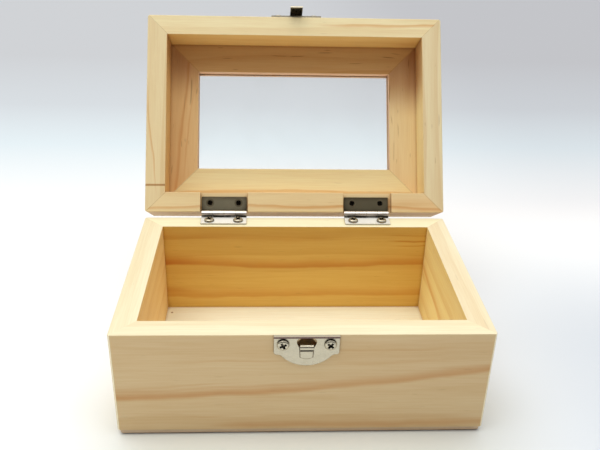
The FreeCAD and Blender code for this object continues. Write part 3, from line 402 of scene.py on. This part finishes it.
STRIPS = {
    "front": dict(rim=tone(208, 164, 105), pith=(20, 110), spacing=7.5, flecks=0.5, streaks=[
        dash(-36.5, -2, 5), dash(-39.5, 18, 20), dash(-37.0, 51, 57),
        dash(-35.0, -40, -36, depth=0.5), dash(-38.2, 14, 21, depth=0.6),
        dash(-36.7, -12, -4, depth=0.5), dash(-33.0, 32, 38, depth=0.5),
        dash(-39.5, 56, 60, depth=0.5)]),
    "back": dict(rim=tone(252, 238, 184), pith=(11, 110), spacing=8.5, streaks=[
        # a darker band along the back rail: painted shade
        streak(39.8, 0.006, 0.0004, below=1.2, above=4.0, depth=0.8, across="Y", face="rim")]),
    "left": dict(rim=tone(238, 202, 144), pith=(2, 110), spacing=9.5, flecks=0.4, streaks=[
        dash(58, -23, -9, thick=0.8), dash(62, -14, -6, depth=0.5),
        streak(62.3, 0.086, below=0.9, above=1.8, depth=0.7, across="Y", face="rim"),
        streak(58.0, 0.11, below=0.5, above=1.0, depth=0.6, across="Y", start=-12, end=26,
               face="rim"),
        shaded_end(67, reach=60, end=-20, depth=0.85, across="Y", face="rim")]),
    "right": dict(rim=tone(248, 224, 172), pith=(-7, 110), spacing=10.5, flecks=0.6, streaks=[
        dash(-55, -21, -12, thick=0.6), dash(-66, -36, -32), dash(-58.5, 2, 8, depth=0.6),
        dash(-56, 12, 22, depth=0.5), dash(-55.5, -3, 1, depth=0.6),
        shaded_end(-67, reach=60, end=-12, depth=1.0, across="Y", face="rim")]),
}
WALL_SEED, BOARD_SEED, RAIL_SEED, STRIP_SEED = 1, 5, 6, 12   # each row's first


def finish_wood():
    """Every board of the body and of the lid, each with its own figure."""
    for number, (side, look) in enumerate(WALLS.items()):
        wall = make_pine(f"pine_wall_{side}", side, outer=FACE, seed=WALL_SEED + number, **look)
        finish_with(wall, f"{side}_wall")
    finish_with(make_pine("pine_board", "board", seed=BOARD_SEED, **BOARD), "bottom_board")
    for number, side in enumerate(RAILS):
        rail = make_pine(f"pine_rail_{side}", side, outer=LID_OUTER, in_lid=True, mitre=0.35,
                         seed=RAIL_SEED + number, rings=0.35, **RAILS[side])
        finish_with(rail, f"lid_{side}_rail")
        strip = make_pine(f"pine_strip_{side}", side, outer=LID_OUTER, inner=STRIP_INNER,
                          in_lid=True, mitre=0.4, seed=STRIP_SEED + number, rings=0.4,
                          **STRIPS[side])
        finish_with(strip, f"lid_frame_{side}")


# ---------------------------------------------------------------- metal and glass

NICKEL = tone(189, 181, 160)
TARNISH = tone(172, 164, 142)
BRIGHT = tone(232, 223, 214)
# painted reflection of a bright room on the body leaves
BODY_LEAF_REFLECTION = tone(248, 246, 237)
# painted shade: darker tints for the lid leaves, one for each side
LID_LEAF_SHADES = {"left": tone(170, 160, 132), "right": tone(138, 128, 102)}
# painted shade: the lid leaves' screws darkened like the leaves, with their stain
LID_SCREW_SHADED, LID_SCREW_SHADED_STAIN = tone(142, 130, 104), tone(122, 110, 86)
NAIL, NAIL_STAIN = tone(170, 170, 170), tone(120, 116, 110)
# painted shade and a painted dark reflection on the catch lip's front edge
LIP_EDGE_SHADE = tone(104, 84, 80)
PRESSED_LINE = tone(96, 84, 66)
# painted shade under the hinge barrel
BARREL_SHADE = tone(60, 50, 44)
# painted shadow under the catch's hook tip
UNDER_HOOK_SHADE = tone(40, 32, 28)
# painted shade in the recesses of the lid screws' crosses
HEAD_SHADE = tone(20, 14, 10)
# grime with painted shade in the plating's hollows and under its parts
DIRT_AND_SHADE = tone(24, 20, 16)
PANE = tone(196, 204, 208)

# the noises in plating and on the pane
STAINS = dict(scale=0.35, detail=4.0)
ROLLING = dict(scale=3.0, detail=3.0, along=0.15)
DUST = dict(scale=0.05, detail=3.0)

STAIN_DEPTH, DIRT_AND_SHADE_DEPTH, UNDER_HOOK_DEPTH, LINE_DEPTH = 0.4, 0.94, 0.95, 0.5
ROUGHER = 0.12                          # how much rougher the rolling marks are

# millimetres
BARREL = 1.6                            # the barrel's radius
BARREL_SHADE_REACH = 2.4                      # reach of the painted shade under it, from the hinge line
LEAF_CLEAN, LEAF_END = 6.5, 9.3         # a leaf darkens between these, from the hinge line
HEAD_RADIUS = 2.2                       # a lid screw's head
HEAD_FAR = 5.95                         # its middle, from the hinge line
HEAD_SHADE_RADIUS = 1.7                        # radius of the painted shade on it
LIP_OUT, LIP_DEEP = 1.7, 1.3            # the catch's lip, out from the front and down from the rim
PLATE_OUT = 0.8                         # the catch plate's face, out from the front
TIP_DEEP, FOOT_DEEP = 5.7, 11.5         # the hook's tip and its tongue's foot, down from the rim
HOLE_HALF, HOLE_LOW = 2.5, 2.4          # the painted shadow under the hook's tip: half its width, which also bounds the pressed line, and its reach below the tip
FOOT_BOW = 0.11                         # how fast the tongue's foot rises to its sides
PLATE_RELIEF = 0.0015


def from_hinge(tree, spot):
    """A point's distance from the hinge line, and its height over it."""
    over = calc(tree, "SUBTRACT", spot["Z"], HINGE.z * MM)
    return length(tree, calc(tree, "SUBTRACT", spot["Y"], HINGE.y * MM), over), over


def finish_leaf(tree, shader, spot, stains, colour, tint, metal=1.0, under=0.0, far=0.0):
    """A leaf's tint outside the barrel, which paints its reflection bright or its shade dark,
    painted shade under the barrel, and a darker far end. A metal of less than 1 lets a leaf show
    its painted tint instead of mirroring the room."""
    away, over = from_hinge(tree, spot)
    barrel = fade(tree, away, BARREL + 0.05, BARREL + 0.25, 1.0, 0.0)
    colour = blend(tree, barrel, tint, colour)
    if under:
        # painted shade on the lower side of the barrel, patchy with the stains
        dirt_and_shade = product(tree, fade(tree, over, -0.3, 0.1, under, 0.0),
                       fade(tree, away, BARREL_SHADE_REACH, BARREL_SHADE_REACH + 0.5, 1.0, 0.0),
                       fade(tree, stains, 0.4, 0.65, 1.0, 0.4))
        colour = blend(tree, dirt_and_shade, colour, BARREL_SHADE)
    if far:
        colour = shade(tree, colour, fade(tree, away, LEAF_CLEAN, LEAF_END, 0.0, far), FLECK)
    if metal < 1:
        tree.links.new(fade(tree, barrel, 0, 1, metal, 1.0), shader.inputs["Metallic"])
    return colour


def finish_lip(tree, spot, colour, out, low):
    """A lip's front edge, from its furthest y and its lowest z, is painted dark: painted shade and
    a painted dark reflection.
    """
    edge = product(tree, fade(tree, spot["Y"], out + 0.3, out + 0.12),
                   fade(tree, spot["Z"], low - 0.2, low))
    return blend(tree, edge, colour, LIP_EDGE_SHADE)


def finish_heads(tree, spot, colour, middle, pitch):
    """Painted shade in the crosses of a lid leaf's two screws and round them."""
    away, _ = from_hinge(tree, spot)
    aside = calc(tree, "SUBTRACT", distance(tree, spot["X"], middle), pitch / 2)
    off = length(tree, aside, calc(tree, "SUBTRACT", away, HEAD_FAR))
    dirt_and_shade = fade(tree, off, HEAD_SHADE_RADIUS * DOT_CORE, HEAD_SHADE_RADIUS, DOT_DEPTH, 0.0)
    return blend(tree, dirt_and_shade, colour, HEAD_SHADE)


def finish_hook(tree, spot, colour, middle, face, tip, foot):
    """Painted shadow on the plate under a hook's tip, and the pressed line round its tongue's foot,
    from the hook's middle x, the y of the plate's face, and the z of the tip and the foot. The
    second result is 0 in front of the plate's face, and 1 on it and behind it."""
    aside = calc(tree, "SUBTRACT", spot["X"], middle)
    near = fade(tree, calc(tree, "ABSOLUTE", aside), HOLE_HALF, HOLE_HALF + 0.4, 1.0, 0.0)
    close = fade(tree, spot["Y"], face - 0.3, face - 0.1)
    tip_shadow = product(tree, fade(tree, spot["Z"], tip - HOLE_LOW, tip - HOLE_LOW + 0.4), close, near,
                   fade(tree, spot["Z"], tip + 0.4, tip + 0.8, UNDER_HOOK_DEPTH, 0.0))
    colour = blend(tree, tip_shadow, colour, UNDER_HOOK_SHADE)
    bow = calc(tree, "MULTIPLY_ADD", product(tree, aside, aside), FOOT_BOW, foot)
    off = distance(tree, spot["Z"], bow)
    line = product(tree, fade(tree, off, 0.08, 0.3, LINE_DEPTH, 0.0), near)
    return blend(tree, line, colour, PRESSED_LINE), close


def make_plating(name, colour, stain, rough, seed, hollow=2.5, dirt_and_shade_range=(0.25, 0.85), leaf=None,
                 lip=None, heads=None, hook=None):
    """Nickel plate: rolling marks, a little tarnish, and grime with painted shade in its hollows
    and under its parts. What is given for a leaf, lip, heads or hook goes to the function that
    finishes it."""
    material, tree, shader = new_material(name, Metallic=1.0)
    at = chest_space(tree)
    spot = split(tree, at)
    stains = noise(tree, at, shift=(seed * 9.0, seed * 4.0, 0), **STAINS)
    colour = blend(tree, fade(tree, stains, 0.42, 0.75, 0.0, STAIN_DEPTH), colour, stain)
    # grime with painted shade where nearby surfaces shut a point in
    dirt_and_shade = fade(tree, openness(tree, hollow, samples=16), *dirt_and_shade_range, DIRT_AND_SHADE_DEPTH, 0.0)
    if leaf:
        colour = finish_leaf(tree, shader, spot, stains, colour, **leaf)
    if lip:
        colour = finish_lip(tree, spot, colour, **lip)
    if heads:
        colour = finish_heads(tree, spot, colour, **heads)
    if hook:
        colour, close = finish_hook(tree, spot, colour, **hook)
        dirt_and_shade = product(tree, dirt_and_shade, close)
    tree.links.new(blend(tree, dirt_and_shade, colour, DIRT_AND_SHADE), shader.inputs["Base Color"])
    marks = noise(tree, at, shift=(0, seed * 3.0, seed), **ROLLING)
    tree.links.new(fade(tree, marks, 0.3, 0.7, rough, rough + ROUGHER), shader.inputs["Roughness"])
    set_bump(tree, shader, marks, PLATE_RELIEF)
    return material


def make_glass(name):
    """Clear pane, with a little dust that veils it and dulls its gloss."""
    material, tree, shader = new_material(name, IOR=1.5, Base_Color=PANE, Specular_IOR_Level=0.3)
    dust = noise(tree, chest_space(tree), **DUST)
    tree.links.new(fade(tree, dust, 0.35, 0.8, 0.05, 0.07), shader.inputs["Alpha"])
    tree.links.new(fade(tree, dust, 0.35, 0.8, 0.02, 0.08), shader.inputs["Roughness"])
    return material


def finish_hinges():
    """Both hinges: the body leaves are painted bright, a painted reflection, and the lid leaves
    darker, a painted shade.
    """
    finish_with(make_plating("nickel_body_leaf", BRIGHT, NICKEL, rough=0.3, seed=1, hollow=4.5,
                             leaf=dict(tint=BODY_LEAF_REFLECTION, metal=0.3, under=0.9)),
                *(f"{side}_hinge_body_leaf" for side in SIDES),
                *(f"{side}_hinge_pin" for side in SIDES))
    for side, lid_leaf_shade in LID_LEAF_SHADES.items():
        finish_with(make_plating(f"nickel_lid_leaf_{side}", BRIGHT, NICKEL, rough=0.3, seed=2,
                                 hollow=4.0, dirt_and_shade_range=(0.35, 0.95), leaf=dict(tint=lid_leaf_shade, far=0.5)),
                    f"{side}_hinge_lid_leaf")
        low, high = (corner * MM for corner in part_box(f"{side}_hinge_lid_screws"))
        heads = dict(middle=(low.x + high.x) / 2, pitch=high.x - low.x - 2 * HEAD_RADIUS)
        finish_with(make_plating(f"nickel_lid_screws_{side}", LID_SCREW_SHADED, LID_SCREW_SHADED_STAIN,
                                 rough=0.3, seed=6, hollow=3.0, dirt_and_shade_range=(0.6, 0.97), heads=heads),
                    f"{side}_hinge_lid_screws")


def finish_latch():
    """The catch with its hook, the latch, and every pan-head screw."""
    low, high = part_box("catch_plate")
    lip = dict(out=-HALF_DEPTH - LIP_OUT, low=RIM_TOP - LIP_DEEP)
    hook = dict(middle=(low.x + high.x) / 2 * MM, face=-HALF_DEPTH - PLATE_OUT,
                tip=RIM_TOP - TIP_DEEP, foot=RIM_TOP - FOOT_DEEP)
    finish_with(make_plating("nickel_catch", NICKEL, TARNISH, rough=0.26, seed=3, lip=lip,
                             hook=hook), "catch_plate")
    # a long reach paints shade under the latch lever and into its hollow
    finish_with(make_plating("nickel_latch", NICKEL, TARNISH, rough=0.22, seed=4, hollow=7.0,
                             dirt_and_shade_range=(0.3, 0.95)), "latch_plate", "latch_lever", "latch_pin")
    finish_with(make_plating("nickel_screws", NICKEL, TARNISH, rough=0.22, seed=5,
                             dirt_and_shade_range=(0.45, 0.92)), "catch_plate_screws", "latch_plate_screws",
                *(f"{side}_hinge_body_screws" for side in SIDES))


# ---------------------------------------------------------------- floor, light and camera

# the floor's tones by their distance in metres behind the middle of the chest
FLOOR_TONES = ((0.0, tone(252, 255, 255)), (0.17, tone(242, 242, 241)),
               (0.30, tone(213, 223, 227)), (0.41, tone(199, 204, 208)),
               (0.60, tone(191, 193, 196)))
# painted shade: what it is multiplied by beside the chest, close in front of it, and far to its
# right
SHADE_BESIDE = (0.66, 0.68, 0.72, 1)
SHADE_IN_FRONT = (0.83, 0.82, 0.75, 1)
SHADE_FAR_RIGHT = (0.87, 0.86, 0.87, 1)
FLOOR_HALF = 6.0                        # metres
SKY_LEFT, SKY_RIGHT = tone(209, 211, 214), tone(197, 197, 201)
TENT, DIM = 1.15, 0.14                  # strength of the light tent, and of the rest of the room
LAMP_STRENGTH, LAMP_WIDTH = 0.9, 45     # the width in degrees
LAMP_FROM = Vector((-0.16, -0.02, 1.0))


def make_floor():
    """A wide white sheet that turns grey away behind the chest, with painted shade to its right,
    near and far, and painted soft shade close in front of it."""
    material, tree, shader = new_material("studio_sheet", Roughness=1.0, Specular_IOR_Level=0.0)
    here = split(tree, add(tree, "ShaderNodeTexCoord").outputs["Object"])
    ramp = add(tree, "ShaderNodeValToRGB", {"Fac": here["Y"]})
    stops = ramp.color_ramp.elements
    for number, (place, colour) in enumerate(FLOOR_TONES):
        stop = stops[number] if number < 2 else stops.new(place)
        stop.position = place
        stop.color = colour
    beside = product(tree, fade(tree, here["X"], 0.0, 0.18), fade(tree, here["Y"], 0.16, 0.0))
    colour = shade(tree, ramp.outputs[0], beside, SHADE_BESIDE)
    pool = product(tree, fade(tree, calc(tree, "ABSOLUTE", here["X"]), 0.05, 0.13, 1.0, 0.0),
                   fade(tree, here["Y"], -0.088, -0.066), fade(tree, here["Y"], 0.0, -0.04))
    colour = shade(tree, colour, pool, SHADE_IN_FRONT)
    far = product(tree, fade(tree, here["X"], 0.0, 0.25), fade(tree, here["Y"], 0.1, 0.2))
    colour = shade(tree, colour, far, SHADE_FAR_RIGHT)
    tree.links.new(colour, shader.inputs["Base Color"])
    mesh = bpy.data.meshes.new("studio_floor")
    corners = [(-1, -1), (1, -1), (1, 1), (-1, 1)]
    mesh.from_pydata([(x * FLOOR_HALF, y * FLOOR_HALF, 0) for x, y in corners], [], [(0, 1, 2, 3)])
    mesh.materials.append(material)
    floor = bpy.data.objects.new("studio_floor", mesh)
    bpy.context.scene.collection.objects.link(floor)


def make_light():
    """A weak broad lamp nearly overhead, from a little left."""
    lamp = bpy.data.lights.new("softbox", "SUN")
    lamp.energy = LAMP_STRENGTH
    lamp.angle = math.radians(LAMP_WIDTH)
    light = bpy.data.objects.new("softbox", lamp)
    bpy.context.scene.collection.objects.link(light)
    light.rotation_mode = "QUATERNION"
    light.rotation_quaternion = LAMP_FROM.to_track_quat("Z", "Y")


def make_world():
    """A light tent overhead and to the sides, dark in front; the camera sees it pale grey."""
    world = bpy.data.worlds.new("room")
    bpy.context.scene.world = world
    world.use_nodes = True
    tree = world.node_tree
    background = tree.nodes["Background"]
    toward = split(tree, add(tree, "ShaderNodeTexCoord").outputs["Generated"])
    high = fade(tree, toward["Z"], 0.15, 0.7)
    behind = fade(tree, toward["Y"], -0.75, -0.35)
    tent = calc(tree, "MULTIPLY_ADD", product(tree, high, behind), TENT, DIM)
    seen = add(tree, "ShaderNodeLightPath").outputs["Is Camera Ray"]
    sky = blend(tree, fade(tree, toward["X"], 0.05, 0.35), SKY_LEFT, SKY_RIGHT)
    tree.links.new(blend(tree, seen, tent, sky), background.inputs["Color"])


def make_camera():
    """The photograph's viewpoint, in metres and degrees."""
    place = Vector((-0.016511, -0.298625, 0.228449))
    down, aside, roll = (math.radians(angle) for angle in (27.013, 3.099, 1.58))
    focal_pixels, image_width = 732.113, 600
    ahead = Vector((math.sin(aside) * math.cos(down), math.cos(aside) * math.cos(down),
                    -math.sin(down)))
    level = Vector((math.cos(aside), -math.sin(aside), 0))
    upward = level.cross(ahead)
    right = level * math.cos(roll) + upward * math.sin(roll)
    above = upward * math.cos(roll) - level * math.sin(roll)
    lens = bpy.data.cameras.new("camera")
    lens.sensor_width = 36.0
    lens.lens = focal_pixels / image_width * lens.sensor_width
    lens.clip_start = 0.01
    camera = bpy.data.objects.new("camera", lens)
    bpy.context.scene.collection.objects.link(camera)
    camera.matrix_world = Matrix((
        (right.x, above.x, -ahead.x, place.x), (right.y, above.y, -ahead.y, place.y),
        (right.z, above.z, -ahead.z, place.z), (0, 0, 0, 1)))
    bpy.context.scene.camera = camera


finish_wood()
finish_hinges()
finish_latch()
finish_with(make_plating("nail_steel", NAIL, NAIL_STAIN, rough=0.3, seed=2), "bottom_nails")
finish_with(make_glass("window_pane"), "window_glass")
make_floor()
make_light()
make_world()
make_camera()
bpy.context.scene.view_settings.view_transform = "Standard"
